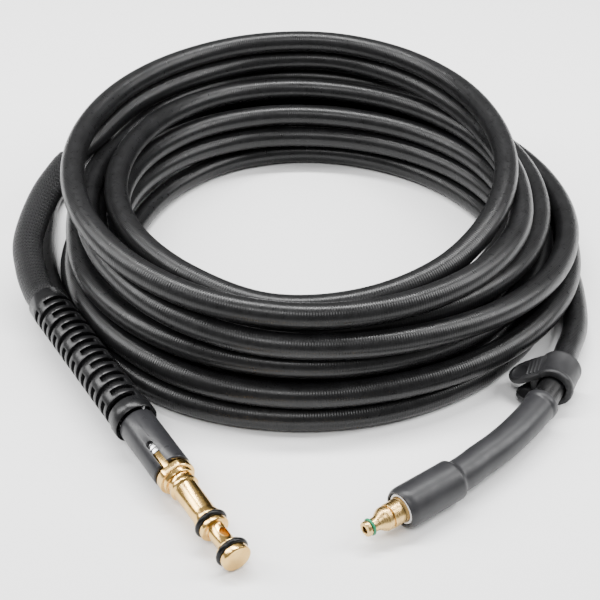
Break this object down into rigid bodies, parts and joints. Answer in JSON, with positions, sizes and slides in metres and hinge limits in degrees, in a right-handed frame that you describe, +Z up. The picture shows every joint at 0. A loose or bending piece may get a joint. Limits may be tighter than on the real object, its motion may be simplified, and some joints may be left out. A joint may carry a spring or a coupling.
{
  "type": "pressure washer hose",
  "caption": "Coiled rubber high-pressure hose with a braided end sleeve, slotted bend protector, brass gun nipple, soft bend sleeve, brass quick plug and a rubber tie strap",
  "frame": {"origin": "middle of the hose's footprint on the floor", "axes": "+Z up; the hose lies flat, both fittings at the front towards -Y, the gun fitting to the left (-X) and the machine fitting to the right (+X)"},
  "size_m": [0.3046, 0.3704, 0.0765],
  "materials": {
    "hose_rubber": "satin, fine cross ribbing from the cover wrap",
    "black_weave": "tight polyester braid",
    "black_plastic": "moulded, satin",
    "grey_plastic": "smooth moulded, satin",
    "soft_sleeve": "soft moulded, satin",
    "crimped_steel": "pressed, ribbed",
    "turned_brass": "turned, bright",
    "brushed_brass": "turned, brushed",
    "ring_rubber": "satin seal",
    "green_rubber": "satin seal",
    "white_plastic": "smooth",
    "strap_rubber": "moulded, matte"
  },
  "bodies": {
    "root": {"hose_coil": "hose_rubber", "hose_lead_gun_end": "hose_rubber", "hose_lead_machine_end": "hose_rubber", "braided_sleeve": "black_weave", "bend_protector": "black_plastic", "connector_barrel": "grey_plastic", "crimp_ferrule": "crimped_steel", "gun_nipple": "turned_brass", "nipple_ring_rear": "ring_rubber", "nipple_ring_front": "ring_rubber", "machine_end_sleeve": "soft_sleeve", "mouth_ring": "white_plastic", "quick_plug": "brushed_brass", "plug_ring": "green_rubber", "tie_strap": "strap_rubber"}
  },
  "joints": []
}
